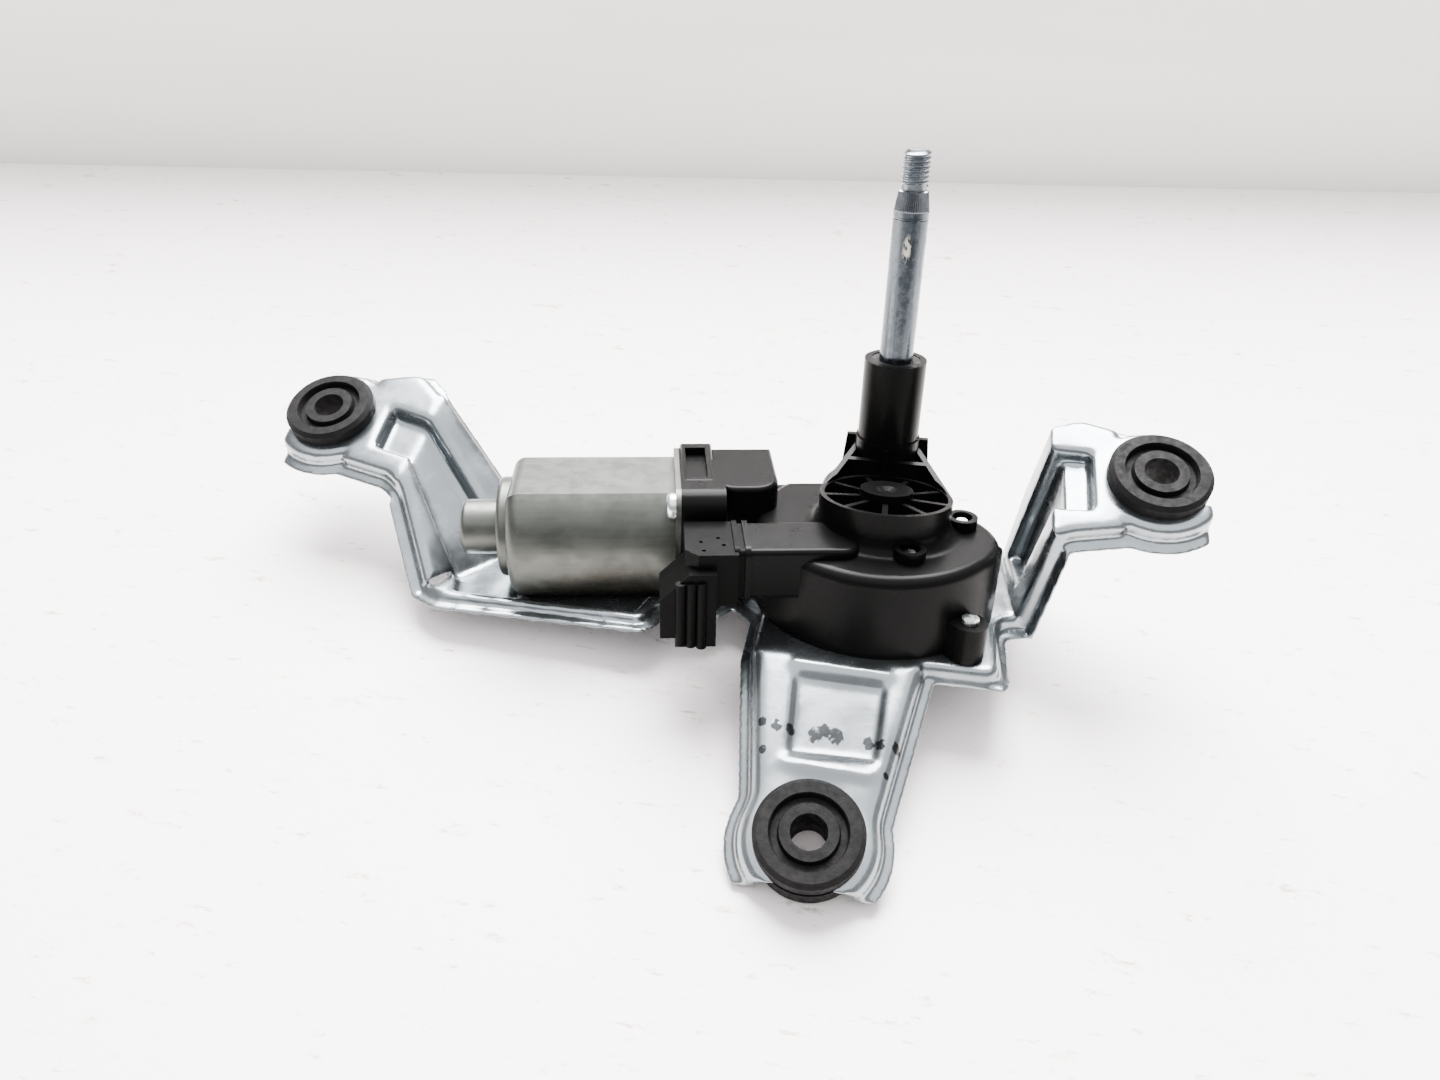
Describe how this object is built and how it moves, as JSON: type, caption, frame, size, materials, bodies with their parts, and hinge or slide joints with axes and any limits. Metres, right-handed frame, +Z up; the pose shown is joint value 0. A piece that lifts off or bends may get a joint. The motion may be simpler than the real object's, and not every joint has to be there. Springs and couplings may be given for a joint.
{
  "type": "windshield wiper motor assembly",
  "caption": "Rear windshield wiper motor with gearbox, threaded output shaft and a pressed steel bracket on rubber grommets.",
  "frame": {"origin": "centre of the bounding box at the surface the assembly rests on", "axes": "+Z up from the resting surface, +X along the bracket from the motor arm to the gearbox arm, +Y away from the front arm"},
  "size_m": [0.2878, 0.1572, 0.1352],
  "materials": {
    "zinc_steel": "bright zinc plate with light scuffs",
    "rubber": "matte moulded rubber",
    "seal_rubber": "matte",
    "black_plastic": "semi-gloss glass-filled plastic",
    "plug_plastic": "semi-gloss",
    "card_plastic": "plain",
    "gear_plastic": "natural moulded",
    "screw_zinc": "zinc plated",
    "can_steel": "dull zinc on drawn steel",
    "bright_steel": "ground",
    "gear_steel": "sintered",
    "spring_steel": "phosphated",
    "core_steel": "laminated",
    "ferrite": "sintered ferrite",
    "carbon": "pressed carbon",
    "bronze": "sintered bronze",
    "brass": "tin plated brass",
    "copper": "enamelled copper",
    "board": "lacquered board"
  },
  "bodies": {
    "frame": {"bracket": "zinc_steel", "grommet_left": "rubber", "grommet_right": "rubber", "grommet_front": "rubber", "gear_housing": "black_plastic", "bottom_cover": "black_plastic", "cover_gasket": "seal_rubber", "cover_screws": "screw_zinc", "mounting_screws": "screw_zinc", "flange_screws": "screw_zinc", "motor_can": "can_steel", "magnets": "ferrite", "rear_bearing": "bronze", "front_bearing": "bronze", "worm_end_bearing": "bronze", "brush_holder": "card_plastic", "brushes": "carbon", "brush_springs": "spring_steel", "wheel_axle": "bright_steel", "wheel_washer": "spring_steel", "thrust_washer": "card_plastic", "lower_bush": "bronze", "upper_bush": "bronze", "shaft_seal": "seal_rubber", "plug_housing": "plug_plastic", "terminals": "brass", "circuit_board": "board"},
    "armature": {"armature_shaft": "bright_steel", "armature_core": "core_steel", "armature_windings": "copper", "commutator": "copper", "worm": "bright_steel"},
    "wheel": {"worm_wheel": "gear_plastic"},
    "output": {"output_shaft": "bright_steel", "output_gear": "gear_steel", "retaining_clip": "spring_steel"}
  },
  "joints": [
    {"name": "armature_spin", "type": "hinge", "parent": "frame", "child": "armature", "pos_m": [0.04903, 0.04528, 0.02564], "axis": [0.9744, 0.2249, 0.0044], "range_deg": [0, 6765]},
    {"name": "wheel_turn", "type": "hinge", "parent": "frame", "child": "wheel", "pos_m": [0.05359, 0.02551, 0.02654], "axis": [-0.0528, 0.2096, 0.9763], "range_deg": [0, 165]},
    {"name": "shaft_sweep", "type": "hinge", "parent": "frame", "child": "output", "pos_m": [0.05089, 0.06239, 0.07635], "axis": [-0.0528, 0.2096, 0.9763], "range_deg": [-110, 0]}
  ],
  "couplings": [
    {"joint": "wheel_turn", "follows": "armature_spin", "ratio": 0.02439},
    {"joint": "shaft_sweep", "follows": "armature_spin", "ratio": -0.01626}
  ]
}
